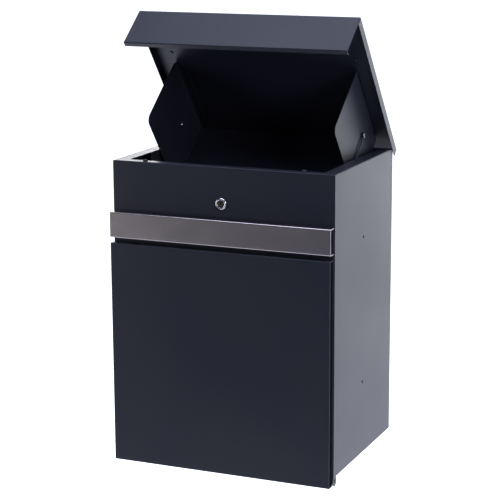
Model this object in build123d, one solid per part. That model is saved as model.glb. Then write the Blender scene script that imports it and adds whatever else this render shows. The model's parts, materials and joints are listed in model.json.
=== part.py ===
from build123d import *
import os
from math import atan2, cos, degrees, radians, sin, sqrt

# A wall-hung parcel drop box in folded sheet steel: a top lid that carries a parcel scoop,
# and a bottom-hinged front door with a full-width steel pull rail.
# Frame: +X to the box's own left as it faces out (right for a person in front), front faces -Y,
# +Z up. Origin: centre of the four wall fixings, on the wall's plane. Millimetres.

# Cabinet
body_width = 440.0
body_depth = 315.0
body_height = 562.0
shell_sheet = 1.2
bend_radius = 2.0
side_rim_flange = 26.0
front_rim_flange = 18.0
rear_rim_flange = 12.0
jamb_width = 19.0
panel_tab = 14.0
floor_lip = 16.0
fascia_height = 104.0
fascia_return = 10.0

# Wall, floor and side fixings
wall_standoff = 25.0
wall_hole_inset = 70.0
wall_hole_drop = 101.0
fixing_hole_radius = 4.25
spacer_radius = 12.0
washer_thickness = 2.0
floor_hole_inset = 70.0
floor_hole_setback = 67.5
side_hole_radius = 3.0
side_hole_spacing = 280.0
side_hole_setback = 152.5

# Door, pull rail and their hinge
front_projection = 19.5
door_gap = 2.0
door_sheet = 1.2
door_side_gap = 1.6
door_top_drop = 153.0
door_bottom_drop = 15.3
inner_panel_inset = 12.0
inner_panel_top_drop = 97.0
rail_side_gap = 1.0
rail_sheet = 1.2
rail_top_drop = 94.7
rail_height = 48.1
rail_spacer_width = 18.0
rail_spacer_pitch = 150.0
hinge_setback = 6.0
hinge_drop = 7.5
ear_radius = 10.0
door_pin_radius = 3.0
lug_sheet = 2.0
lug_clearance = 0.4
hinge_washer_radius = 6.0
hinge_washer_thickness = 1.0
buffer_radius = 4.0
contact_gap = 0.3

# Lock
lock_drop = 67.0
bezel_radius = 11.0
bezel_height = 4.0
barrel_radius = 9.3
barrel_length = 16.0
plug_radius = 6.0
cam_reach = 50.0
cam_width = 14.0
cam_sheet = 2.0
keeper_width = 40.0
keeper_sheet = 1.5
keeper_overlap = 9.0

# Lid and its hinge
lid_angle = 51.75
lid_length = 345.0
lid_sheet = 1.2
lid_side_gap = 0.4
lid_rise = 5.5
lid_flange = 17.6
lid_lip = 87.5
lid_lip_return = 9.5
lid_pivot_setback = 5.5
lid_pivot_drop = 10.0
barrel_outer_radius = 4.0
lid_pin_radius = 2.0
leaf_sheet = 1.4
leaf_length = 60.0
leaf_inset = 90.0
leaf_drop = 34.0
leaf_flange = 22.0
bumper_radius = 4.5
bumper_inset = 63.0
lid_stud_radius = 4.0
lid_stud_inset = 33.0
lid_stud_setback = 107.0

# Scoop under the lid
scoop_side_gap = 6.5
scoop_sheet = 1.0
scoop_bend = 8.0
scoop_flange = 20.0
scoop_front = 111.0
scoop_rear_gap = 19.0
scoop_depth = 156.8
scoop_corner = 14.0
end_plate_tab = 12.0

# Lid stays
stay_pin_front = 228.0
stay_pin_drop = 52.0
stay_length = 100.0
stay_radius = 1.6
stay_centre_gap = 3.0
stay_elbow = 3.0
stay_peg = 9.0
stay_pin_radius = 2.5
stay_eye_radius = 5.5
stay_slot_drop = 32.0
guide_sheet = 1.5
running_clearance = 0.05

# Main planes
half_width = body_width / 2
inner_half = half_width - shell_sheet
rear_y = -wall_standoff
front_y = rear_y - body_depth
rim_z = body_height / 2
base_z = -rim_z
scoop_half_width = half_width - side_rim_flange - scoop_side_gap
pivot_y = rear_y + lid_pivot_setback
pivot_z = rim_z - lid_pivot_drop
hinge_y = front_y + hinge_setback
hinge_z = base_z - hinge_drop
both_sides = (-1, 1)


def block(x, y, z):
    """Box from three (low, high) pairs."""
    centre = [(low + high) / 2 for low, high in (x, y, z)]
    size = [abs(high - low) for low, high in (x, y, z)]
    return Pos(*centre) * Box(*size)


def side_span(side, near, far):
    """The X range from near to far, on the side -1 or 1."""
    return tuple(sorted((side * near, side * far)))


def round_x(x, y, z, radius):
    low, high = sorted(x)
    return Pos((low + high) / 2, y, z) * Rot(0, 90, 0) * Cylinder(radius, high - low)


def round_y(x, y, z, radius):
    low, high = sorted(y)
    return Pos(x, (low + high) / 2, z) * Rot(90, 0, 0) * Cylinder(radius, high - low)


def round_z(x, y, z, radius):
    low, high = sorted(z)
    return Pos(x, y, (low + high) / 2) * Cylinder(radius, high - low)


def soften(solid, axis, places, radius):
    """Round the edges along an axis that pass closest to each of the given points."""
    edges = []
    for place in places:
        along = solid.edges().filter_by(axis)
        edges.append(along.sort_by(lambda edge: (edge.center() - Vector(*place)).length)[0])
    return fillet(edges, radius)


def joined(pieces):
    """One solid from touching or overlapping pieces."""
    result = pieces[0]
    for piece in pieces[1:]:
        result = result + piece
    return result


def apart(pieces):
    """Separate solids in one node."""
    return Compound(children=[piece for piece in pieces])


def dome_x(x_face, direction, y, z, radius, height):
    """A low rivet head standing on a face across X."""
    head = round_x((x_face, x_face + direction * height), y, z, radius)
    outer = head.edges().filter_by(GeomType.CIRCLE).sort_by(Axis.X)
    return fillet(outer[-1] if direction > 0 else outer[0], height * 0.8)


def dome_y(x, y_face, direction, z, radius, height):
    """A low rivet head standing on a face across Y."""
    head = round_y(x, (y_face, y_face + direction * height), z, radius)
    outer = head.edges().filter_by(GeomType.CIRCLE).sort_by(Axis.Y)
    return fillet(outer[-1] if direction > 0 else outer[0], height * 0.8)


def dome_z(x, y, z_face, direction, radius, height):
    """A low rivet head standing on a face across Z."""
    head = round_z(x, y, (z_face, z_face + direction * height), radius)
    outer = head.edges().filter_by(GeomType.CIRCLE).sort_by(Axis.Z)
    return fillet(outer[-1] if direction > 0 else outer[0], height * 0.8)


# ---- Cabinet ----

def side_panel(side):
    fascia_back = front_y + shell_sheet
    wall = block(side_span(side, inner_half, half_width), (front_y, rear_y), (base_z, rim_z))
    rim = block(
        side_span(side, half_width - side_rim_flange, half_width),
        (fascia_back, rear_y),
        (rim_z - shell_sheet, rim_z),
    )
    jamb = block(
        side_span(side, half_width - jamb_width, half_width),
        (front_y, fascia_back),
        (base_z, rim_z - fascia_height),
    )
    panel = joined([wall, rim, jamb])
    outer_x = side * half_width
    panel = soften(panel, Axis.Y, [(outer_x, front_y + body_depth / 2, rim_z)], bend_radius)
    panel = panel - block(
        side_span(side, 0, half_width + 1),
        (front_y - 1, fascia_back),
        (rim_z - fascia_height, rim_z + 1),
    )
    panel = panel + round_x(side_span(side, inner_half, half_width), hinge_y, hinge_z, ear_radius)
    hole = side_span(side, inner_half - 1, half_width + 1)
    panel = panel - round_x(hole, hinge_y, hinge_z, door_pin_radius + running_clearance)
    for level in both_sides:
        height = level * side_hole_spacing / 2
        panel = panel - round_x(hole, front_y + side_hole_setback, height, side_hole_radius)
    return panel


def wall_fixing_places():
    x = half_width - wall_hole_inset
    z = rim_z - wall_hole_drop
    return [(i * x, k * z) for i in both_sides for k in both_sides]


def make_rear_panel():
    back = (rear_y - shell_sheet, rear_y)
    plate = block((-inner_half, inner_half), back, (base_z, rim_z))
    rim_half = half_width - side_rim_flange
    rim = block((-rim_half, rim_half), (rear_y - rear_rim_flange, rear_y), (rim_z - shell_sheet, rim_z))
    tabs = [
        block(
            side_span(side, inner_half - shell_sheet, inner_half),
            (rear_y - panel_tab, rear_y),
            (base_z + shell_sheet, rim_z - shell_sheet),
        )
        for side in both_sides
    ]
    panel = joined([plate, rim, *tabs])
    panel = panel - apart([
        block(
            side_span(side, rim_half, inner_half + 1),
            (rear_y - shell_sheet - 1, rear_y + 1),
            (rim_z - shell_sheet, rim_z + 1),
        )
        for side in both_sides
    ])
    for x, z in wall_fixing_places():
        panel = panel - round_y(x, (rear_y - 5, rear_y + 5), z, fixing_hole_radius)
    return panel


def make_floor_panel():
    front_edge = front_y + shell_sheet
    rear_edge = rear_y - shell_sheet
    top_of_sheet = base_z + shell_sheet
    plate = block((-inner_half, inner_half), (front_edge, rear_edge), (base_z, top_of_sheet))
    lip_half = half_width - jamb_width
    sill = block((-lip_half, lip_half), (front_y, front_edge), (base_z, base_z + floor_lip))
    panel = plate + sill
    for side in both_sides:
        x = side * (half_width - floor_hole_inset)
        for y in (front_y + floor_hole_setback, rear_y - floor_hole_setback):
            panel = panel - round_z(x, y, (base_z - 1, top_of_sheet + 1), fixing_hole_radius)
    return panel


def make_front_fascia():
    low = rim_z - fascia_height
    plate = block((-half_width, half_width), (front_y, front_y + shell_sheet), (low, rim_z))
    rim_half = half_width - side_rim_flange
    rim = block((-rim_half, rim_half), (front_y, front_y + front_rim_flange), (rim_z - shell_sheet, rim_z))
    foot_half = half_width - jamb_width
    foot = block((-foot_half, foot_half), (front_y, front_y + fascia_return), (low, low + shell_sheet))
    panel = joined([plate, rim, foot])
    panel = soften(panel, Axis.X, [(0, front_y, rim_z)], bend_radius)
    lock_z = rim_z - lock_drop
    panel = panel - round_y(0, (front_y - 1, front_y + 3), lock_z, barrel_radius)
    for side in both_sides:
        x = side * (half_width - bumper_inset)
        y = front_y + front_rim_flange / 2
        panel = panel - round_z(x, y, (rim_z - 3, rim_z + 1), bumper_radius / 2)
    return panel


def make_rim_bumpers():
    height = lid_rise - lid_sheet - contact_gap
    y = front_y + front_rim_flange / 2
    bumpers = []
    for side in both_sides:
        x = side * (half_width - bumper_inset)
        head = dome_z(x, y, rim_z, 1, bumper_radius, height)
        stem = round_z(x, y, (rim_z - shell_sheet - 2, rim_z), bumper_radius / 2)
        bumpers.append(head + stem)
    return apart(bumpers)


def make_wall_spacers():
    spacers = []
    for x, z in wall_fixing_places():
        tube = round_y(x, (rear_y, 0), z, spacer_radius)
        spacers.append(tube - round_y(x, (rear_y - 1, 1), z, fixing_hole_radius))
    return apart(spacers)


def make_wall_washers():
    face = rear_y - shell_sheet
    washers = []
    for x, z in wall_fixing_places():
        disc = round_y(x, (face - washer_thickness, face), z, spacer_radius)
        washers.append(disc - round_y(x, (face - 5, face + 1), z, fixing_hole_radius))
    return apart(washers)


def make_catch_magnets():
    magnet_z = rim_z - fascia_height - 16
    face = front_y + shell_sheet
    return apart([
        block(
            side_span(side, half_width - jamb_width, inner_half - 2),
            (face, face + 7),
            (magnet_z - 12, magnet_z),
        )
        for side in both_sides
    ])


# ---- Lid stays: the foot of each rod runs in a slot beside the rim ----

def turned(y, z, angle):
    """A point of the shut lid after the lid has opened by an angle in degrees."""
    turn = radians(angle)
    along = y - pivot_y
    up = z - pivot_z
    return pivot_y + along * cos(turn) + up * sin(turn), pivot_z - along * sin(turn) + up * cos(turn)


stay_x = scoop_half_width + stay_centre_gap
slot_z = rim_z - stay_slot_drop
shut_pin = (front_y + stay_pin_front, rim_z - stay_pin_drop)
open_pin = turned(*shut_pin, lid_angle)


def stay_direction(pin):
    """Angle of the rod in the YZ plane when its foot lies on the slot's level."""
    fall = pin[1] - slot_z
    return degrees(atan2(-fall, -sqrt(stay_length**2 - fall**2))) % 360


open_direction = stay_direction(open_pin)
shut_direction = stay_direction(shut_pin)
stay_ratio = (shut_direction - open_direction) / lid_angle - 1


def foot_at(angle):
    """Where the rod's foot is when the lid stands open by an angle."""
    pin = turned(*shut_pin, angle)
    share = (lid_angle - angle) / lid_angle
    direction = radians(open_direction + share * (shut_direction - open_direction))
    return pin[0] + stay_length * cos(direction), pin[1] + stay_length * sin(direction)


def make_stay_guide(side):
    rim_under = rim_z - shell_sheet
    near = half_width - side_rim_flange
    path = [foot_at(lid_angle * step / 16) for step in range(17)]
    low_y = min(y for y, z in path) - 12
    high_y = max(y for y, z in path) + 12
    low_z = min(z for y, z in path) - 10
    plate = block(side_span(side, near, near + guide_sheet), (low_y, high_y), (low_z, rim_under))
    flange = block(side_span(side, near, near + 18), (low_y, high_y), (rim_under - guide_sheet, rim_under))
    guide = plate + flange
    reach = side_span(side, near - 1, near + guide_sheet + 1)
    slot_radius = stay_radius + contact_gap
    for start, end in zip(path, path[1:]):
        run = sqrt((end[0] - start[0]) ** 2 + (end[1] - start[1]) ** 2)
        slope = degrees(atan2(end[1] - start[1], end[0] - start[0]))
        middle = ((start[0] + end[0]) / 2, (start[1] + end[1]) / 2)
        slot_box = Box(reach[1] - reach[0], run, 2 * slot_radius)
        cut = Pos(sum(reach) / 2, *middle) * Rot(slope, 0, 0) * slot_box
        guide = guide - cut - round_x(reach, *start, slot_radius)
    return guide - round_x(reach, *path[-1], slot_radius)


def make_guide_rivets():
    under = rim_z - shell_sheet - guide_sheet
    path_y = [foot_at(angle)[0] for angle in (0, lid_angle)]
    rivets = []
    for side in both_sides:
        for y in path_y:
            rivets.append(dome_z(side * (half_width - side_rim_flange + 11), y, under, -1, 3, 1.4))
    return apart(rivets)


def make_stay_rod(side):
    """The left rod, bent outwards at its foot, or its mirror image."""
    foot = foot_at(lid_angle)
    tip = (-stay_x - stay_peg, *foot)
    route = FilletPolyline((-stay_x, *open_pin), (-stay_x, *foot), tip, radius=stay_elbow)
    start = Plane(origin=route @ 0, z_dir=route % 0)
    rod = sweep(start * Circle(stay_radius), path=route)
    rod = rod + round_x((-stay_x - stay_radius, -stay_x + stay_radius), *open_pin, stay_eye_radius)
    rod = rod - round_x((-stay_x - 5, -stay_x + 5), *open_pin, stay_pin_radius + running_clearance)
    return rod if side < 0 else mirror(rod, about=Plane.YZ)


def make_stay_cap(side):
    foot = foot_at(lid_angle)
    start = half_width - side_rim_flange + guide_sheet + 0.6
    cap = round_x(side_span(side, start, stay_x + stay_peg + 1), *foot, stay_radius + 2)
    return cap - round_x(side_span(side, start - 1, stay_x + stay_peg), *foot, stay_radius)


# ---- Lid hinges ----

def leaf_places():
    return [side * (half_width - leaf_inset) for side in both_sides]


def knuckle_span(x, part):
    """The X range of one third of a hinge: -1, 0 or 1."""
    third = leaf_length / 3
    gap = contact_gap / 2
    return (x + (part - 0.5) * third + gap, x + (part + 0.5) * third - gap)


def make_body_leaves():
    leaves = []
    bottom = pivot_z - leaf_drop
    for x in leaf_places():
        plate = block(
            (x - leaf_length / 2, x + leaf_length / 2),
            (rear_y, rear_y + leaf_sheet),
            (bottom, pivot_z - barrel_outer_radius - 1),
        )
        leaf = plate
        for part in (-1, 1):
            span = knuckle_span(x, part)
            arm = block(span, (rear_y, rear_y + leaf_sheet), (pivot_z - barrel_outer_radius - 2, pivot_z))
            bridge = block(span, (rear_y, pivot_y), (pivot_z - leaf_sheet, pivot_z))
            leaf = joined([leaf, arm, bridge, round_x(span, pivot_y, pivot_z, barrel_outer_radius)])
        leaf = leaf - round_x((x - 40, x + 40), pivot_y, pivot_z, lid_pin_radius)
        for i in both_sides:
            leaf = leaf - round_y(x + i * leaf_length / 4, (rear_y - 1, rear_y + 3), bottom + 9, 2)
        leaves.append(leaf)
    return apart(leaves)


def make_leaf_rivets():
    rivets = []
    bottom = pivot_z - leaf_drop
    for x in leaf_places():
        for i in both_sides:
            place = x + i * leaf_length / 4
            head = dome_y(place, rear_y + leaf_sheet, 1, bottom + 9, 3.6, 1.4)
            rivets.append(head + round_y(place, (rear_y, rear_y + leaf_sheet), bottom + 9, 2))
    return apart(rivets)


def make_lid_pins():
    return apart([
        round_x((x - leaf_length / 2 - 1, x + leaf_length / 2 + 1), pivot_y, pivot_z, lid_pin_radius)
        for x in leaf_places()
    ])


def opened(solid):
    """Turn a piece modelled on the shut lid to where it stands with the lid open."""
    return Pos(0, pivot_y, pivot_z) * Rot(-lid_angle, 0, 0) * Pos(0, -pivot_y, -pivot_z) * solid


# ---- Lid, modelled shut and then opened ----

lid_half = half_width + lid_side_gap + lid_sheet
lid_front = front_y - front_projection
lid_top = rim_z + lid_rise
lid_under = lid_top - lid_sheet
lid_rear = lid_front + lid_length


def make_lid_shell():
    inner = lid_half - lid_sheet
    lip_low = lid_top - lid_lip
    shell = block((-lid_half, lid_half), (lid_front, lid_rear), (lip_low, lid_top))
    middle_y = (lid_front + lid_rear) / 2
    shell = soften(
        shell, Axis.Y, [(-lid_half, middle_y, lid_top), (lid_half, middle_y, lid_top)], bend_radius
    )
    shell = soften(shell, Axis.X, [(0, lid_front, lid_top), (0, lid_front, lip_low)], bend_radius)
    shell = shell - block(
        (-inner, inner), (lid_front + lid_sheet, lid_rear + 1), (lip_low - 1, lid_under)
    )
    shell = shell - block(
        (-lid_half - 1, lid_half + 1),
        (lid_front + lid_sheet, lid_rear + 1),
        (lip_low - 1, lid_top - lid_flange),
    )
    foot_y = (lid_front + lid_sheet, lid_front + lid_lip_return)
    lip_foot = block((-inner, inner), foot_y, (lip_low, lip_low + lid_sheet))
    return opened(shell + lip_foot)


def make_lid_leaves():
    leaves = []
    for x in leaf_places():
        span = knuckle_span(x, 0)
        upright = block(span, (pivot_y - leaf_sheet, pivot_y), (pivot_z, lid_under))
        flange_y = (pivot_y - leaf_flange, pivot_y)
        flange = block(span, flange_y, (lid_under - leaf_sheet, lid_under))
        leaf = joined([upright, flange, round_x(span, pivot_y, pivot_z, barrel_outer_radius)])
        leaf = leaf - round_x((x - 40, x + 40), pivot_y, pivot_z, lid_pin_radius + running_clearance)
        leaves.append(opened(leaf))
    return apart(leaves)


def make_lid_studs():
    y = lid_front + lid_stud_setback
    return apart([
        opened(dome_z(side * (half_width - lid_stud_inset), y, lid_under, -1, lid_stud_radius, 1.6))
        for side in both_sides
    ])


# ---- Scoop: two cheeks and an end plate, each flanged to the underside of the lid ----

scoop_y = (front_y + scoop_front, rear_y - scoop_rear_gap)
scoop_low = lid_under - scoop_depth


def make_scoop_cheek(side):
    middle_y = sum(scoop_y) / 2
    inside = scoop_half_width - scoop_sheet
    edge = scoop_half_width - scoop_flange
    outer = block(side_span(side, edge, scoop_half_width), scoop_y, (scoop_low, lid_under))
    outer = soften(outer, Axis.Y, [(side * scoop_half_width, middle_y, lid_under)], scoop_bend)
    hollow = block(
        side_span(side, edge - 1, inside),
        (scoop_y[0] - 1, scoop_y[1] + 1),
        (scoop_low - 1, lid_under - scoop_sheet),
    )
    hollow_corner = (side * inside, middle_y, lid_under - scoop_sheet)
    hollow = soften(hollow, Axis.Y, [hollow_corner], scoop_bend - scoop_sheet)
    cheek = outer - hollow
    cheek = soften(cheek, Axis.X, [(side * scoop_half_width, scoop_y[0], scoop_low)], scoop_corner)
    hole = side_span(side, inside - 1, scoop_half_width + 1)
    return opened(cheek - round_x(hole, *shut_pin, stay_pin_radius))


def make_scoop_end_plate():
    inside = scoop_half_width - scoop_sheet
    flange_half = scoop_half_width - scoop_flange
    rear = (scoop_y[1] - scoop_sheet, scoop_y[1])
    tab_y = (scoop_y[1] - end_plate_tab, scoop_y[1])
    low = scoop_low + scoop_sheet
    top = lid_under - scoop_sheet
    plate = block((-inside, inside), rear, (scoop_low, top))
    corners = [(side * inside, scoop_y[1] - scoop_sheet / 2, top) for side in both_sides]
    plate = soften(plate, Axis.Y, corners, scoop_bend - scoop_sheet)
    tabs = [
        block(side_span(side, inside - scoop_sheet, inside), tab_y, (low, lid_under - scoop_bend))
        for side in both_sides
    ]
    flange = block((-flange_half, flange_half), tab_y, (top, lid_under))
    hem = block((-inside, inside), (scoop_y[1] - end_plate_tab / 2, scoop_y[1]), (scoop_low, low))
    return opened(joined([plate, *tabs, flange, hem]))


def make_scoop_rivets():
    inside = scoop_half_width - 2 * scoop_sheet
    y = scoop_y[1] - end_plate_tab / 2
    return apart([
        opened(dome_x(side * inside, -side, y, z, 3, 1.4))
        for side in both_sides
        for z in (scoop_low + 25, scoop_low + 85)
    ])


def make_stay_pins():
    pins = []
    for side in both_sides:
        inside = scoop_half_width - scoop_sheet
        outer_end = stay_x + stay_radius + 0.2
        shaft = round_x(side_span(side, inside, outer_end), *shut_pin, stay_pin_radius)
        inner_head = dome_x(side * inside, -side, *shut_pin, 5, 1.6)
        outer_head = dome_x(side * outer_end, side, *shut_pin, 4.4, 0.9)
        pins.append(opened(joined([shaft, inner_head, outer_head])))
    return apart(pins)


# ---- Door ----

door_half = half_width - door_side_gap
door_front = front_y - front_projection
plate_back = front_y - door_gap
plate_front = plate_back - door_sheet
skin_z = (base_z - door_bottom_drop, rim_z - door_top_drop)
plate_z = (skin_z[0] + door_sheet, rim_z - inner_panel_top_drop)
rail_z = (rim_z - rail_top_drop - rail_height, rim_z - rail_top_drop)
rail_half = half_width - rail_side_gap


def channel(half, z, sheet):
    """A C section along X, open to the rear, that stands on the door's inner panel."""
    outer = block((-half, half), (door_front, plate_front), z)
    outer = soften(outer, Axis.X, [(0, door_front, z[0]), (0, door_front, z[1])], bend_radius)
    hollow_y = (door_front + sheet, plate_front + 1)
    hollow = block((-half - 1, half + 1), hollow_y, (z[0] + sheet, z[1] - sheet))
    return outer - hollow


def make_inner_panel():
    plate = block((-door_half, door_half), (plate_front, plate_back), plate_z)
    wings = []
    for side in both_sides:
        edge = door_half - inner_panel_inset
        wings.append(block(
            side_span(side, edge - door_sheet, edge),
            (door_front + door_sheet, plate_back),
            (plate_z[0], skin_z[1] - door_sheet),
        ))
    panel = joined([plate, *wings])
    for x in rail_spacer_places():
        panel = panel - round_y(x, (plate_front - 1, plate_back + 1), sum(rail_z) / 2, 2.5)
    return panel


def rail_spacer_places():
    return [step * rail_spacer_pitch for step in both_sides]


def make_rail_spacers():
    spacers = []
    for x in rail_spacer_places():
        half = rail_spacer_width / 2
        body = block(
            (x - half, x + half),
            (door_front + rail_sheet, plate_front),
            (rail_z[0] + rail_sheet, rail_z[1] - rail_sheet),
        )
        spacers.append(body - round_y(x, (plate_front - 12, plate_front + 1), sum(rail_z) / 2, 2.5))
    return apart(spacers)


def make_rail_screws():
    z = sum(rail_z) / 2
    screws = []
    for x in rail_spacer_places():
        shank = round_y(x, (plate_front - 11, plate_back), z, 2.5)
        head = dome_y(x, plate_back, 1, z, 4.6, 2.6)
        recess = Pos(x, plate_back + 2, z) * Rot(90, 0, 0) * extrude(RegularPolygon(1.8, 6), 1.6, both=True)
        screws.append(shank + head - recess)
    return apart(screws)


lock_z = rim_z - lock_drop
cam_y = (front_y + barrel_length + 1, front_y + barrel_length + 1 + cam_sheet)
cam_low = lock_z - cam_reach


def make_lock_keeper():
    lip_y = (cam_y[0] - 1 - keeper_sheet, cam_y[0] - 1)
    arm_top = cam_low - 3
    half = keeper_width / 2
    arm = block((-half, half), (plate_back, lip_y[1]), (arm_top - keeper_sheet, arm_top))
    lip = block((-half, half), lip_y, (arm_top - keeper_sheet, cam_low + keeper_overlap))
    foot = block((-half, half), (plate_back, plate_back + keeper_sheet), (arm_top - 18, arm_top))
    keeper = joined([arm, lip, foot])
    rivet_z = arm_top - 11
    for side in both_sides:
        keeper = keeper - round_y(side * 12, (plate_back - 1, plate_back + 4), rivet_z, 2)
    return keeper


def make_keeper_rivets():
    rivet_z = cam_low - 3 - 11
    face = plate_back + keeper_sheet
    rivets = []
    for side in both_sides:
        shank = round_y(side * 12, (plate_back, face), rivet_z, 2)
        rivets.append(shank + dome_y(side * 12, face, 1, rivet_z, 3.6, 1.4))
    return apart(rivets)


lug_reach = hinge_drop - lug_clearance
lug_x = (inner_half - hinge_washer_thickness - 0.3 - lug_sheet, inner_half - hinge_washer_thickness - 0.3)


def make_door_lugs():
    lugs = []
    for side in both_sides:
        span = side_span(side, *lug_x)
        cheek = round_x(span, hinge_y, hinge_z, lug_reach)
        stop = block(span, (hinge_y, hinge_y + lug_reach), (plate_z[0], hinge_z))
        root = block(span, (plate_back, hinge_y), (plate_z[0], hinge_z + lug_reach))
        foot = block(
            side_span(side, lug_x[1] - 24, lug_x[1]), (plate_back, plate_back + lug_sheet / 2),
            (plate_z[0], hinge_z + lug_reach),
        )
        lug = joined([cheek, stop, root, foot])
        bore = side_span(side, lug_x[0] - 1, lug_x[1] + 1)
        lugs.append(lug - round_x(bore, hinge_y, hinge_z, door_pin_radius))
    return apart(lugs)


def make_lug_rivets():
    z = (plate_z[0] + hinge_z + lug_reach) / 2
    face = plate_back + lug_sheet / 2
    return apart([
        dome_y(side * (lug_x[0] - reach), face, 1, z, 3, 1.2)
        for side in both_sides
        for reach in (6, 16)
    ])


def make_door_pins():
    pins = []
    for side in both_sides:
        shaft = round_x(side_span(side, lug_x[0], half_width + 0.8), hinge_y, hinge_z, door_pin_radius)
        head = dome_x(side * lug_x[0], -side, hinge_y, hinge_z, door_pin_radius + 2, 2)
        pins.append(shaft + head)
    return apart(pins)


def make_hinge_washers():
    washers = []
    for side in both_sides:
        span = side_span(side, lug_x[1], lug_x[1] + hinge_washer_thickness)
        disc = round_x(span, hinge_y, hinge_z, hinge_washer_radius)
        bore = side_span(side, lug_x[0], half_width)
        washers.append(disc - round_x(bore, hinge_y, hinge_z, door_pin_radius))
    return apart(washers)


def make_door_buffers():
    x = half_width - jamb_width / 2
    buffers = []
    for side in both_sides:
        for z in (rim_z - fascia_height - 60, base_z + 60):
            buffers.append(round_y(side * x, (plate_back, front_y - contact_gap), z, buffer_radius))
    return apart(buffers)


# ---- Lock ----

def make_lock_housing():
    bezel = round_y(0, (front_y - bezel_height, front_y), lock_z, bezel_radius)
    rim = bezel.edges().filter_by(GeomType.CIRCLE).sort_by(Axis.Y)[0]
    bezel = fillet(rim, bezel_height * 0.55)
    barrel = round_y(0, (front_y, front_y + barrel_length), lock_z, barrel_radius)
    bore = round_y(0, (front_y - 6, front_y + 20), lock_z, plug_radius + running_clearance)
    return bezel + barrel - bore


def make_lock_nut():
    face = front_y + shell_sheet
    thickness = 5
    nut = Pos(0, face + thickness / 2, lock_z) * Rot(90, 0, 0) * extrude(
        RegularPolygon(13, 6, major_radius=False), thickness / 2, both=True
    )
    return nut - round_y(0, (face - 1, face + 9), lock_z, barrel_radius)


def make_lock_plug():
    front = front_y - bezel_height + 0.6
    plug = round_y(0, (front, cam_y[0]), lock_z, plug_radius)
    square = block((-3.5, 3.5), (cam_y[0], cam_y[1]), (lock_z - 3.5, lock_z + 3.5))
    keyway = block((-0.9, 0.9), (front - 1, front + 9), (lock_z - 3.6, lock_z + 3.6))
    step = round_y(0, (front - 1, front + 0.5), lock_z, 4.4)
    hole = round_y(0, (cam_y[1] - 8, cam_y[1] + 1), lock_z, 1.5)
    return plug + square - keyway - step - hole


def make_lock_cam():
    plate = block((0, cam_reach), cam_y, (lock_z - cam_width / 2, lock_z + cam_width / 2))
    plate = soften(
        plate,
        Axis.Y,
        [(cam_reach, cam_y[0], lock_z - cam_width), (cam_reach, cam_y[0], lock_z + cam_width)],
        4,
    )
    cam = plate + round_y(0, cam_y, lock_z, cam_width / 2 + 1)
    return cam - block((-3.5, 3.5), (cam_y[0] - 1, cam_y[1] + 1), (lock_z - 3.5, lock_z + 3.5))


def make_cam_screw():
    shank = round_y(0, (cam_y[1] - 7, cam_y[1]), lock_z, 1.5)
    return shank + dome_y(0, cam_y[1], 1, lock_z, 5.5, 2.2)


nodes = {
    "left_side_panel": side_panel(-1),
    "right_side_panel": side_panel(1),
    "rear_panel": make_rear_panel(),
    "floor_panel": make_floor_panel(),
    "front_fascia": make_front_fascia(),
    "rim_bumpers": make_rim_bumpers(),
    "wall_spacers": make_wall_spacers(),
    "wall_washers": make_wall_washers(),
    "catch_magnets": make_catch_magnets(),
    "left_stay_guide": make_stay_guide(-1),
    "right_stay_guide": make_stay_guide(1),
    "guide_rivets": make_guide_rivets(),
    "hinge_body_leaves": make_body_leaves(),
    "hinge_leaf_rivets": make_leaf_rivets(),
    "lid_hinge_pins": make_lid_pins(),
    "lock_housing": make_lock_housing(),
    "lock_nut": make_lock_nut(),
    "lock_plug": make_lock_plug(),
    "lock_cam": make_lock_cam(),
    "lock_cam_screw": make_cam_screw(),
    "lid_shell": make_lid_shell(),
    "hinge_lid_leaves": make_lid_leaves(),
    "lid_studs": make_lid_studs(),
    "left_scoop_cheek": make_scoop_cheek(-1),
    "right_scoop_cheek": make_scoop_cheek(1),
    "scoop_end_plate": make_scoop_end_plate(),
    "scoop_rivets": make_scoop_rivets(),
    "stay_pins": make_stay_pins(),
    "left_stay_rod": make_stay_rod(-1),
    "right_stay_rod": make_stay_rod(1),
    "left_stay_cap": make_stay_cap(-1),
    "right_stay_cap": make_stay_cap(1),
    "door_inner_panel": make_inner_panel(),
    "door_outer_skin": channel(door_half, skin_z, door_sheet),
    "pull_rail": channel(rail_half, rail_z, rail_sheet),
    "rail_spacers": make_rail_spacers(),
    "rail_screws": make_rail_screws(),
    "lock_keeper": make_lock_keeper(),
    "keeper_rivets": make_keeper_rivets(),
    "door_lugs": make_door_lugs(),
    "lug_rivets": make_lug_rivets(),
    "door_hinge_pins": make_door_pins(),
    "hinge_washers": make_hinge_washers(),
    "door_buffers": make_door_buffers(),
}

os.makedirs("parts", exist_ok=True)
for name, solid in nodes.items():
    export_step(solid, f"parts/{name}.step")

print(f"lid pivot y {pivot_y:.3f} z {pivot_z:.3f}, door pivot y {hinge_y:.3f} z {hinge_z:.3f}")
print(f"stay pivot y {open_pin[0]:.4f} z {open_pin[1]:.4f}, stay ratio {stay_ratio:.5f}")
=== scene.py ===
import bmesh
import bpy
import json
from math import cos, hypot, pi, radians, sin
from mathutils import Matrix, Vector


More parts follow.
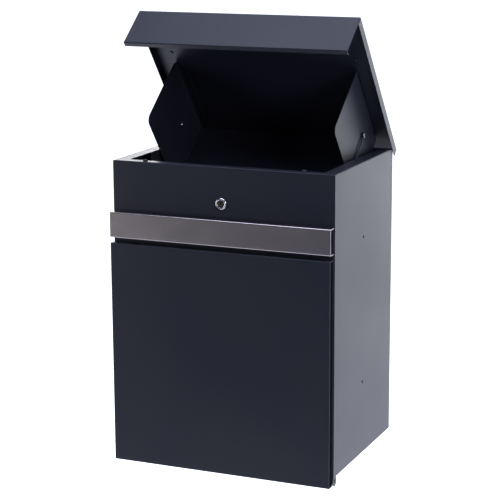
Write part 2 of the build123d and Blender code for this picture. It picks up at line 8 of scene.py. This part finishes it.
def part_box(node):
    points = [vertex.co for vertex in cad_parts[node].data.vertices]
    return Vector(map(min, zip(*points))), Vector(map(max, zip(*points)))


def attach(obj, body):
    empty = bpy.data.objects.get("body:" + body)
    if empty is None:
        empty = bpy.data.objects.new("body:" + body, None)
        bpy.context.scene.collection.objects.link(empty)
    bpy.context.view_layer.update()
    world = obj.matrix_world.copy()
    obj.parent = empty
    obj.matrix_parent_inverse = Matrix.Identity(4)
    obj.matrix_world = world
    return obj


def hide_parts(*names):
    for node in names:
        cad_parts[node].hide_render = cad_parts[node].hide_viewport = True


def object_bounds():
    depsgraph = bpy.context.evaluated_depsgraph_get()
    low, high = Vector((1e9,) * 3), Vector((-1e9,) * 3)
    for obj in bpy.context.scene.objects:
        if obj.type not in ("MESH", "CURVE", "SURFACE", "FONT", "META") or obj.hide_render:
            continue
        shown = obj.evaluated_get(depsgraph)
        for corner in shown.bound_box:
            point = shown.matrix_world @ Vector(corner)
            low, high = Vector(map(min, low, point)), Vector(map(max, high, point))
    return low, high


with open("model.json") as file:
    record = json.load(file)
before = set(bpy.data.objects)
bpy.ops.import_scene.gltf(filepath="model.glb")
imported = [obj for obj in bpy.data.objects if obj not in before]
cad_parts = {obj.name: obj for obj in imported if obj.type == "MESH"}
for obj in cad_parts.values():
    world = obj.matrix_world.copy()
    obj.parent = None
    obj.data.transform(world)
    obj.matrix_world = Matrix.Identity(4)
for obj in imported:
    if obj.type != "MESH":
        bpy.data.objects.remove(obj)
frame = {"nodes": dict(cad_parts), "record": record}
cadBounds = [list(corner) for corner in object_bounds()]  # the model's box before anything is added
nodes = frame["nodes"]
print("frame loaded,", len(nodes), "nodes")


# shader building: a Link is a socket that can be used in sums, a Graph is one material's node tree
class Link:
    def __init__(self, graph, socket):
        self.graph = graph
        self.socket = socket

    def __add__(self, other):
        return self.graph.maths("ADD", self, other)

    def __sub__(self, other):
        return self.graph.maths("SUBTRACT", self, other)

    def __mul__(self, other):
        return self.graph.maths("MULTIPLY", self, other)

    def __radd__(self, other):
        return self.graph.maths("ADD", other, self)

    def __rsub__(self, other):
        return self.graph.maths("SUBTRACT", other, self)

    def __rmul__(self, other):
        return self.graph.maths("MULTIPLY", other, self)


class Graph:
    def __init__(self, holder):
        self.holder = holder
        holder.use_nodes = True
        self.tree = holder.node_tree
        self.tree.nodes.clear()

    def add(self, kind, settings=None, inputs=None, output=0):
        node = self.tree.nodes.new(kind)
        for key, value in (settings or {}).items():
            setattr(node, key, value)
        for key, value in (inputs or {}).items():
            if isinstance(value, Link):
                self.tree.links.new(value.socket, node.inputs[key])
            else:
                node.inputs[key].default_value = value
        return Link(self, node.outputs[output]) if node.outputs else None

    def maths(self, operation, *values):
        return self.add("ShaderNodeMath", {"operation": operation}, dict(enumerate(values)))

    def mix(self, factor, first, second, mode="MIX"):
        settings = {"data_type": "RGBA", "blend_type": mode}
        return self.add("ShaderNodeMix", settings, {0: factor, 6: first, 7: second}, 2)

    def place(self, stretch=(1, 1, 1), turn=(0, 0, 0)):
        coords = self.add("ShaderNodeTexCoord", None, None, "Object")
        inputs = {"Vector": coords, "Scale": stretch, "Rotation": turn}
        return self.add("ShaderNodeMapping", None, inputs)

    def noise(self, where, size, detail=2.0, rough=0.5):
        inputs = {"Vector": where, "Scale": 1 / size, "Detail": detail, "Roughness": rough}
        return self.add("ShaderNodeTexNoise", None, inputs)

    def span(self, value, low, high, toLow=0.0, toHigh=1.0):
        inputs = {0: value, 1: low, 2: high, 3: toLow, 4: toHigh}
        return self.add("ShaderNodeMapRange", {"clamp": True}, inputs)

    def rounded(self, radius):
        return self.add("ShaderNodeBevel", {"samples": 6}, {"Radius": radius})

    def edges(self, radius, low=0.02, high=0.3):
        flat = self.add("ShaderNodeNewGeometry", None, None, "Normal")
        settings = {"operation": "DOT_PRODUCT"}
        likeness = self.add("ShaderNodeVectorMath", settings, {0: self.rounded(radius), 1: flat}, "Value")
        return self.span(1 - likeness, low, high)

    def bump(self, height, depth, strength=1.0, over=None):
        inputs = {"Height": height, "Distance": depth, "Strength": strength}
        if over:
            inputs["Normal"] = over
        return self.add("ShaderNodeBump", None, inputs)

    def finish(self, inputs):
        surface = self.add("ShaderNodeBsdfPrincipled", None, inputs)
        self.add("ShaderNodeOutputMaterial", None, {"Surface": surface})
        return self.holder


coat = {
    "colour": (0.0130, 0.0146, 0.0270, 1),
    "warm": (0.0144, 0.0155, 0.0258, 1),
    "dust": (0.060, 0.062, 0.070, 1),
    "dustSize": 0.03,
    "dustAmount": 0.22,
    "edge": (0.045, 0.048, 0.062, 1),
    "edgeRadius": 0.0007,
    "wearSize": 0.012,
    "driftSize": 0.16,
    "grain": 0.00085,
    "peel": 0.0032,
    "depth": 0.00012,
    "roughness": 0.40,
    "gloss": 0.32,
    "bend": 0.0009,  # radius of the soft line where two faces meet
}


def powderCoat(name):
    g = Graph(bpy.data.materials.new(name))
    here = g.place()
    cloud = g.noise(here, coat["driftSize"], 3.0, 0.55)  # slow drift of shade over a panel
    grain = g.noise(here, coat["grain"], 2.0, 0.6)
    peel = g.noise(here, coat["peel"], 1.0, 0.5)
    facing = g.add("ShaderNodeNewGeometry", None, None, "Normal")
    upward = g.add("ShaderNodeSeparateXYZ", None, {0: facing}, 2)
    specks = g.span(g.noise(here, coat["dustSize"], 4.0, 0.65), 0.45, 0.75)
    settled = g.span(upward, 0.6, 1.0) * specks * coat["dustAmount"]  # dust lies on level faces
    colour = g.mix(g.span(cloud, 0.35, 0.65), coat["colour"], coat["warm"])
    colour = g.mix(settled, colour, coat["dust"])
    worn = g.edges(coat["edgeRadius"]) * g.span(g.noise(here, coat["wearSize"]), 0.3, 0.7, 0.25, 0.8)
    colour = g.mix(worn, colour, coat["edge"])
    roughness = coat["roughness"] + (cloud - 0.5) * 0.10 + (grain - 0.5) * 0.12 + settled * 0.3
    relief = grain * 0.55 + peel * 0.45
    return g.finish({
        "Base Color": colour,
        "Roughness": roughness,
        "Specular IOR Level": coat["gloss"],
        "Normal": g.bump(relief, coat["depth"], 1.0, g.rounded(coat["bend"])),
    })


brush = {
    "light": (0.64, 0.57, 0.585, 1),
    "dark": (0.52, 0.46, 0.475, 1),
    "roughness": 0.22,
    "length": 0.16,
    "width": 0.00045,
    "broad": 5,  # wide strokes, in fine ones
    "smudge": 0.05,
    "anisotropy": 0.5,
    "bend": 0.0003,
    "depth": 0.000004,
}


def brushedSteel(name, along=0):
    g = Graph(bpy.data.materials.new(name))
    scale = [1 / brush["width"]] * 3
    scale[along] = 1 / brush["length"]
    fine = g.add("ShaderNodeTexNoise", None, {"Vector": g.place(tuple(scale)), "Scale": 1.0, "Detail": 1.0})
    scale = [1 / (brush["width"] * brush["broad"])] * 3
    scale[along] = 0.4 / brush["length"]
    broad = g.add("ShaderNodeTexNoise", None, {"Vector": g.place(tuple(scale)), "Scale": 1.0, "Detail": 2.0})
    smudge = g.noise(g.place(), brush["smudge"], 3.0, 0.6)
    colour = g.mix(g.span(fine * 0.6 + broad * 0.4, 0.3, 0.7), brush["dark"], brush["light"])
    roughness = brush["roughness"] + (fine - 0.5) * 0.08 + g.span(smudge, 0.5, 0.8) * 0.04
    return g.finish({
        "Base Color": colour,
        "Roughness": roughness,
        "Metallic": 1.0,
        "Anisotropic": brush["anisotropy"],
        "Normal": g.bump(broad, brush["depth"], 0.6, g.rounded(brush["bend"])),
    })


def plating(name, colour, shade, roughness, size=0.004):
    g = Graph(bpy.data.materials.new(name))
    here = g.place()
    spots = g.noise(here, size, 4.0, 0.6)
    fine = g.noise(here, size / 12, 2.0)
    mixed = g.mix(g.span(spots, 0.35, 0.7), colour, shade)
    return g.finish({
        "Base Color": mixed,
        "Roughness": roughness + (spots - 0.5) * (0.4 * roughness),
        "Metallic": 1.0,
        "Normal": g.bump(fine, 0.00002, 0.5, g.rounded(0.0004)),
    })


def moulded(name, colour, shade, roughness):
    g = Graph(bpy.data.materials.new(name))
    here = g.place()
    pits = g.noise(here, 0.0006, 3.0, 0.6)
    patch = g.noise(here, 0.006, 3.0)
    return g.finish({
        "Base Color": g.mix(g.span(patch, 0.35, 0.65), colour, shade),
        "Roughness": roughness + (patch - 0.5) * 0.15,
        "Specular IOR Level": 0.3,
        "Normal": g.bump(pits, 0.00008, 0.7, g.rounded(0.0004)),
    })


metals = {
    "zincPlated": {
        "colour": (0.38, 0.39, 0.41, 1), "shade": (0.26, 0.28, 0.31, 1), "roughness": 0.36, "size": 0.007,
    },
    "chromePlated": {"colour": (0.78, 0.78, 0.80, 1), "shade": (0.68, 0.69, 0.72, 1), "roughness": 0.10},
    # the lock plug's near-black colour is painted shade: it stands in for the dark look of the lock's centre,
    # not the colour of its metal
    "plugPaintedShade": {
        "colour": (0.085, 0.070, 0.068, 1),
        "shade": (0.055, 0.045, 0.045, 1),
        "roughness": 0.20,
        "size": 0.003,
    },
    "blackenedSteel": {
        "colour": (0.060, 0.062, 0.070, 1), "shade": (0.035, 0.037, 0.043, 1), "roughness": 0.42,
    },
    "shutterSteel": {
        "colour": (0.20, 0.17, 0.16, 1), "shade": (0.13, 0.11, 0.11, 1), "roughness": 0.30, "size": 0.002,
    },
}
plastics = {
    "blackRubber": {"colour": (0.010, 0.010, 0.011, 1), "shade": (0.016, 0.016, 0.018, 1), "roughness": 0.62},
    "spacerPlastic": {
        "colour": (0.028, 0.028, 0.031, 1), "shade": (0.036, 0.036, 0.040, 1), "roughness": 0.48,
    },
    "ferrite": {"colour": (0.045, 0.044, 0.044, 1), "shade": (0.060, 0.058, 0.058, 1), "roughness": 0.55},
}
platings = {name: plating(name, **look) for name, look in metals.items()}
mouldings = {name: moulded(name, **look) for name, look in plastics.items()}
finishes = {
    "powder_coat": powderCoat("powderCoat"),
    "brushed_stainless": brushedSteel("brushedStainless"),
    "zinc_plated": platings["zincPlated"],
    "chrome_plated": platings["chromePlated"],
    "black_rubber": mouldings["blackRubber"],
    "spacer_plastic": mouldings["spacerPlastic"],
    "ferrite": mouldings["ferrite"],
}
slotOf = {part["node"]: part["material_slot"] for part in frame["record"]["subparts"]}
for name, node in nodes.items():
    node.data.materials.clear()
    node.data.materials.append(finishes[slotOf[name]])
print("finishes given to", len(slotOf), "nodes")


meshing = {"merge": 2e-6, "cadMerge": 1e-6, "sharp": 32}


# a round piece is an outline, given as heights and radii, spun about its place's own Z axis
def addSpun(bm, place, outline, steps, closed=False):
    verts = [bm.verts.new(place @ Vector((out, 0, up))) for up, out in outline]
    pairs = list(zip(verts, verts[1:]))
    if closed:
        pairs.append((verts[-1], verts[0]))
    edges = [bm.edges.new(pair) for pair in pairs]
    axis = place.to_3x3() @ Vector((0, 0, 1))
    bmesh.ops.spin(
        bm, geom=verts + edges, cent=place.translation, axis=axis, angle=2 * pi, steps=steps, use_merge=True
    )


def addPiece(name, bm, material, body, replaced=()):
    bmesh.ops.remove_doubles(bm, verts=bm.verts, dist=meshing["merge"])
    bmesh.ops.recalc_face_normals(bm, faces=bm.faces)
    mesh = bpy.data.meshes.new(name)
    bm.to_mesh(mesh)
    bm.free()
    mesh.shade_smooth()
    mesh.set_sharp_from_angle(angle=radians(meshing["sharp"]))
    mesh.materials.append(material)
    piece = bpy.data.objects.new(name, mesh)
    bpy.context.scene.collection.objects.link(piece)
    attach(piece, body)
    if replaced:
        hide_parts(*replaced)


def axisPlace(centre, outward):
    return Matrix.Translation(centre) @ Vector(outward).to_track_quat("Z", "Y").to_matrix().to_4x4()


def onlyKind(geometry, kind):
    return [item for item in geometry if isinstance(item, kind)]


def cornersOf(points):
    low = Vector([min(p[k] for p in points) for k in range(3)])
    high = Vector([max(p[k] for p in points) for k in range(3)])
    return low, high


def looseParts(name):  # the points of each separate solid of a node
    bm = bmesh.new()
    bm.from_mesh(nodes[name].data)
    bmesh.ops.remove_doubles(bm, verts=bm.verts, dist=meshing["cadMerge"])
    parts = []
    for start in bm.verts:
        if start.tag:
            continue
        start.tag = True
        found = [start]
        for vert in found:
            near = [edge.other_vert(vert) for edge in vert.link_edges]
            fresh = [other for other in near if not other.tag]
            for other in fresh:
                other.tag = True
            found.extend(fresh)
        parts.append([vert.co.copy() for vert in found])
    bm.free()
    return parts


head = {"full": 0.985, "taper": (0.75, 0.95)}  # shares of a head's radius, at its seat and on its crown


def headSeat(points):  # where a round head meets its sheet, which way it faces and its sizes
    low, high = cornersOf(points)
    size = high - low
    axis = min(range(3), key=lambda k: abs(size[(k + 1) % 3] - size[(k + 2) % 3]))
    middle = (low + high) / 2
    across = [k for k in range(3) if k != axis]
    radius = max(size[k] for k in across) / 2
    reach = [(p[axis], hypot(*(p[k] - middle[k] for k in across)) / radius) for p in points]
    wide = [level for level, share in reach if share > head["full"]]
    taper = [level for level, share in reach if head["taper"][0] < share < head["taper"][1]]
    upward = sum(taper) / len(taper) > sum(wide) / len(wide)  # a head narrows away from its sheet
    middle[axis] = min(wide) if upward else max(wide)
    outward = Vector((0, 0, 0))
    outward[axis] = 1 if upward else -1
    height = high[axis] - middle[axis] if upward else middle[axis] - low[axis]
    return middle, outward, radius, height, size[axis] - height


rivet = {
    "nodes": {
        "guide_rivets": "cabinet",
        "hinge_leaf_rivets": "cabinet",
        "keeper_rivets": "door",
        "lug_rivets": "door",
        "scoop_rivets": "lid",
    },
    "outline": [  # height and radius as shares of the head's own
        (0.0, 0.0), (0.0, 1.0), (0.16, 1.0), (0.42, 0.94), (0.66, 0.80), (0.86, 0.60), (0.97, 0.42),
        (1.0, 0.34), (0.97, 0.29), (0.80, 0.27), (0.62, 0.26), (0.60, 0.20), (0.70, 0.12), (0.72, 0.0),
    ],
    "stemRadius": 0.002,
    "leastStem": 0.00001,
    "steps": 28,
}


def blindRivets():
    for node, body in rivet["nodes"].items():
        bm = bmesh.new()
        for points in looseParts(node):
            middle, outward, radius, height, shank = headSeat(points)
            outline = [(height * up, radius * out) for up, out in rivet["outline"]]
            if shank > rivet["leastStem"]:  # the stem that fills the hole in the sheet
                stem = rivet["stemRadius"]
                outline[:1] = [(-shank, 0.0), (-shank, stem), (0.0, stem)]
            addSpun(bm, axisPlace(middle, outward), outline, rivet["steps"])
        name = node.split("_rivets")[0].replace("_", "") + "BlindRivets"
        addPiece(name, bm, finishes[slotOf[node]], body, [node])


blindRivets()
print("rivets made")

bezel = {
    "node": "lock_housing",
    "face": 0.004,
    "radius": 0.011,
    "bore": 0.00605,
    "barrel": 0.0093,
    "barrelLength": 0.016,
    "pitch": 0.001,
    "threadDepth": 0.0004,
    "dish": 0.0074,
    "dishFloor": 0.0026,
    "band": 0.0014,
    "roll": 0.0024,
    "rollSteps": 6,
    "lead": 0.0007,
    "ease": 0.0001,
    "steps": 72,
}


def lockBezel():
    low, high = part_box(bezel["node"])
    sheetFace = high[1] - bezel["barrelLength"]
    centre = Vector(((low[0] + high[0]) / 2, sheetFace, (low[2] + high[2]) / 2))
    root = bezel["barrel"] - bezel["threadDepth"]
    inner = -bezel["barrelLength"]
    ease = bezel["ease"]
    outline = [(inner, bezel["bore"]), (inner, bezel["barrel"] - bezel["lead"])]
    for turn in range(int(bezel["barrelLength"] / bezel["pitch"]) - 1):
        height = bezel["lead"] + inner + turn * bezel["pitch"]
        outline += [(height, root), (height + 0.5 * bezel["pitch"], bezel["barrel"])]
    outline += [(0.0, root), (0.0, bezel["radius"] - 2 * ease), (2 * ease, bezel["radius"])]
    rise = bezel["face"] - bezel["band"]
    for k in range(bezel["rollSteps"] + 1):  # the shoulder rolls over in a quarter of an ellipse
        angle = k * pi / 2 / bezel["rollSteps"]
        out = bezel["radius"] - bezel["roll"] * (1 - cos(angle))
        outline.append((bezel["band"] + rise * sin(angle), out))
    outline += [
        (bezel["face"] - ease, bezel["dish"] + 4 * ease),
        (bezel["face"] - 4 * ease, bezel["dish"]),
        (bezel["dishFloor"], bezel["dish"] - 3 * ease),
        (bezel["dishFloor"] - ease, bezel["bore"] + 2 * ease),
        (bezel["dishFloor"] - 3 * ease, bezel["bore"]),
    ]
    bm = bmesh.new()
    addSpun(bm, axisPlace(centre, (0, -1, 0)), outline, bezel["steps"], closed=True)
    addPiece("lockBezel", bm, finishes["chrome_plated"], "cabinet", [bezel["node"]])


lockBezel()
# the lock plug gets the near-black plating, painted shade for the dark centre of the lock
nodes["lock_plug"].data.materials[0] = platings["plugPaintedShade"]
nodes["door_hinge_pins"].data.materials[0] = platings["blackenedSteel"]

shutter = {"radius": 0.0043, "sunk": 0.0005, "thickness": 0.00035, "slotHalf": 0.00094, "steps": 48}


def keyShutter():
    low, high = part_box("lock_plug")
    centre = Vector(((low[0] + high[0]) / 2, low[1] + shutter["sunk"], (low[2] + high[2]) / 2))
    place = axisPlace(centre, (0, -1, 0))
    across = place.to_3x3() @ Vector((1, 0, 0))
    bm = bmesh.new()
    bmesh.ops.create_circle(
        bm, cap_ends=True, segments=shutter["steps"], radius=shutter["radius"], matrix=place
    )
    for side in (-1, 1):  # two leaves, cut apart along the key slot
        edge = centre + across * (side * shutter["slotHalf"])
        disc = bm.verts[:] + bm.edges[:] + bm.faces[:]
        bmesh.ops.bisect_plane(bm, geom=disc, plane_co=edge, plane_no=across)
    slotFace = min(bm.faces, key=lambda face: abs((face.calc_center_median() - centre).dot(across)))
    bmesh.ops.delete(bm, geom=[slotFace], context="FACES")
    lifted = bmesh.ops.extrude_face_region(bm, geom=bm.faces[:])["geom"]
    verts = onlyKind(lifted, bmesh.types.BMVert)
    bmesh.ops.translate(bm, verts=verts, vec=(0, -shutter["thickness"], 0))
    addPiece("keyShutter", bm, platings["shutterSteel"], "lock")


keyShutter()
print("lock face made")

socketScrew = {
    "node": "rail_screws",
    "outline": [  # the head, as height and radius in shares of its own
        (0.0, 1.0), (0.30, 1.0), (0.62, 0.90), (0.86, 0.72), (0.97, 0.58), (1.0, 0.50),
    ],
    "headHeight": 0.0026,
    "shankRadius": 0.0025,
    "pitch": 0.0008,
    "threadDepth": 0.0003,
    "threadLength": 0.009,
    "socketRadius": 0.0019,
    "socketDepth": 0.0016,
    "rimReach": 0.6,  # the head's open rim lies within this share of its radius
    "steps": 36,
}


def screwOutline(radius, shankLength):
    root = socketScrew["shankRadius"] - socketScrew["threadDepth"]
    outline = [(-shankLength, 0.0), (-shankLength, root)]
    for turn in range(int(socketScrew["threadLength"] / socketScrew["pitch"])):
        height = (turn + 0.5) * socketScrew["pitch"] - shankLength
        outline += [(height, socketScrew["shankRadius"]), (height + 0.5 * socketScrew["pitch"], root)]
    outline.append((0.0, root))
    return outline + [(up * socketScrew["headHeight"], out * radius) for up, out in socketScrew["outline"]]


def hexSocket(bm, top, rim):  # joins the head's open rim to a six-sided hole and sinks its floor
    hexagon = bmesh.ops.create_circle(bm, segments=6, radius=socketScrew["socketRadius"], matrix=top)
    sides = list(dict.fromkeys(edge for vert in hexagon["verts"] for edge in vert.link_edges))
    split = bmesh.ops.subdivide_edges(bm, edges=sides, cuts=socketScrew["steps"] // 6 - 1)
    loop = list(dict.fromkeys(onlyKind(split["geom"], bmesh.types.BMEdge)))
    bmesh.ops.bridge_loops(bm, edges=rim + loop)
    sunk = bmesh.ops.extrude_edge_only(bm, edges=loop)["geom"]
    down = top.to_3x3() @ Vector((0, 0, -socketScrew["socketDepth"]))
    bmesh.ops.translate(bm, verts=onlyKind(sunk, bmesh.types.BMVert), vec=down)
    floorEdges = [edge for edge in onlyKind(sunk, bmesh.types.BMEdge) if edge.is_boundary]
    bmesh.ops.contextual_create(bm, geom=floorEdges)


def socketScrews():
    bm = bmesh.new()
    for points in looseParts(socketScrew["node"]):
        low, high = cornersOf(points)
        middle = (low + high) / 2
        seat = Vector((middle[0], high[1] - socketScrew["headHeight"], middle[2]))
        place = axisPlace(seat, (0, 1, 0))  # the head is on the inside of the door
        top = place @ Matrix.Translation((0, 0, socketScrew["headHeight"]))
        radius = (high[0] - low[0]) / 2
        addSpun(bm, place, screwOutline(radius, seat[1] - low[1]), socketScrew["steps"])
        reach = socketScrew["rimReach"] * radius
        near = {v for v in bm.verts if (v.co - top.translation).length < reach}
        rim = [edge for edge in bm.edges if edge.is_boundary and near.issuperset(edge.verts)]
        hexSocket(bm, top, rim)
    addPiece("railSocketScrews", bm, finishes["zinc_plated"], "door", [socketScrew["node"]])


socketScrews()
print("rail screws made")

floorPlan = {
    "reach": 26.0,
    "below": 0.42,
    "colour": (0.88, 0.88, 0.88, 1),
    # shade is painted shade on the floor's front part, light and dim are the ends of its painted glow
    "shade": (0.10, 0.11, 0.12, 1),
    "light": (0.93, 0.96, 1.10, 1),
    "dim": (0.044, 0.047, 0.054, 1),
    "fade": (-1.5, -0.55),
}


def layFloor():
    g = Graph(bpy.data.materials.new("paleFloor"))
    here = g.place()
    depth = g.add("ShaderNodeSeparateXYZ", None, {0: here}, 1)
    paintedLight = g.span(depth, *floorPlan["fade"])  # painted glow and painted shade: the floor's colour and its glow both darken towards the front of the studio
    grain = g.noise(here, 0.004, 2.0)
    surface = g.mix(paintedLight - grain * 0.04, floorPlan["shade"], floorPlan["colour"])
    material = g.finish({
        "Base Color": surface,
        "Roughness": 0.9,
        "Specular IOR Level": 0.05,
        # the floor glows with painted light, bright at the back and dim at the front
        "Emission Color": g.mix(paintedLight, floorPlan["dim"], floorPlan["light"]),
        "Emission Strength": 1.0,
    })
    mesh = bpy.data.meshes.new("floor")
    bm = bmesh.new()
    bmesh.ops.create_grid(bm, x_segments=1, y_segments=1, size=floorPlan["reach"])
    bmesh.ops.translate(bm, verts=bm.verts, vec=(0, 0, cadBounds[0][2] - floorPlan["below"]))
    bm.to_mesh(mesh)
    bm.free()
    floor = bpy.data.objects.new("floor", mesh)
    bpy.context.scene.collection.objects.link(floor)
    mesh.materials.append(material)


layFloor()

view = {
    "target": (-0.0085, -0.1900, 0.0964),
    "azimuth": 23.30,
    "elevation": 12.51,
    "distance": 3.229,
    "lens": 121.7,
    "sensor": 36,
    "roll": -0.28,
}


def aim(azimuth, elevation):
    a, e = radians(azimuth), radians(elevation)
    return Vector((sin(a) * cos(e), -cos(a) * cos(e), sin(e)))


def addCamera():
    data = bpy.data.cameras.new("camera")
    data.lens = view["lens"]
    data.sensor_width = view["sensor"]
    camera = bpy.data.objects.new("camera", data)
    bpy.context.scene.collection.objects.link(camera)
    back = aim(view["azimuth"], view["elevation"])
    turn = back.to_track_quat("Z", "Y").to_matrix() @ Matrix.Rotation(radians(view["roll"]), 3, "Z")
    camera.matrix_world = Matrix.Translation(Vector(view["target"]) + back * view["distance"]) @ turn.to_4x4()
    bpy.context.scene.camera = camera


addCamera()

lamps = {
    "sideSoftbox": {"azimuth": 164, "elevation": 2, "distance": 2.8, "size": (0.8, 1.2), "power": 3.5},
    "sideStrip": {"azimuth": 164, "elevation": 2, "distance": 1.15, "size": (0.10, 1.0), "power": 1.1},
    "backSoftbox": {"azimuth": 204, "elevation": 12, "distance": 3.0, "size": (1.8, 0.5), "power": 24},
    "topSoftbox": {
        "azimuth": 10, "elevation": 78, "distance": 2.6, "size": (2.6, 2.6), "power": 66,
        "colour": (0.86, 0.93, 1.16),
    },
    "frontCard": {"azimuth": -50, "elevation": -6, "distance": 2.6, "size": (0.8, 1.8), "power": 16},
    "rightCard": {"azimuth": 60, "elevation": 18, "distance": 2.8, "size": (1.0, 1.0), "power": 26},
}
studio = {
    "centre": (0, -0.18, 0.05),
    "front": (0.054, 0.058, 0.067, 1),
    "back": (0.92, 0.95, 1.05, 1),
    "turn": (0.05, 0.55),
}


def addLamp(name, lamp):
    data = bpy.data.lights.new(name, "AREA")
    data.shape = "RECTANGLE"
    data.size, data.size_y = lamp["size"]
    data.energy = lamp["power"]
    data.color = lamp.get("colour", (1, 1, 1))
    light = bpy.data.objects.new(name, data)
    bpy.context.scene.collection.objects.link(light)
    away = aim(lamp["azimuth"], lamp["elevation"])
    place = Matrix.Translation(Vector(studio["centre"]) + away * lamp["distance"])
    light.visible_camera = False
    light.matrix_world = place @ away.to_track_quat("Z", "Y").to_matrix().to_4x4()


for name, lamp in lamps.items():
    addLamp(name, lamp)


def lightWorld():
    world = bpy.data.worlds.new("studio")
    g = Graph(world)
    towards = g.add("ShaderNodeTexCoord", None, None, "Generated")
    ahead = g.add("ShaderNodeSeparateXYZ", None, {0: towards}, 1)
    glow = g.mix(g.span(ahead, *studio["turn"]), studio["front"], studio["back"])
    sky = g.add("ShaderNodeBackground", None, {"Color": glow, "Strength": 1.0})
    g.add("ShaderNodeOutputWorld", None, {"Surface": sky})
    bpy.context.scene.world = world


lightWorld()
bpy.context.scene.view_settings.view_transform = "Standard"
print("stage, camera and lights are set")
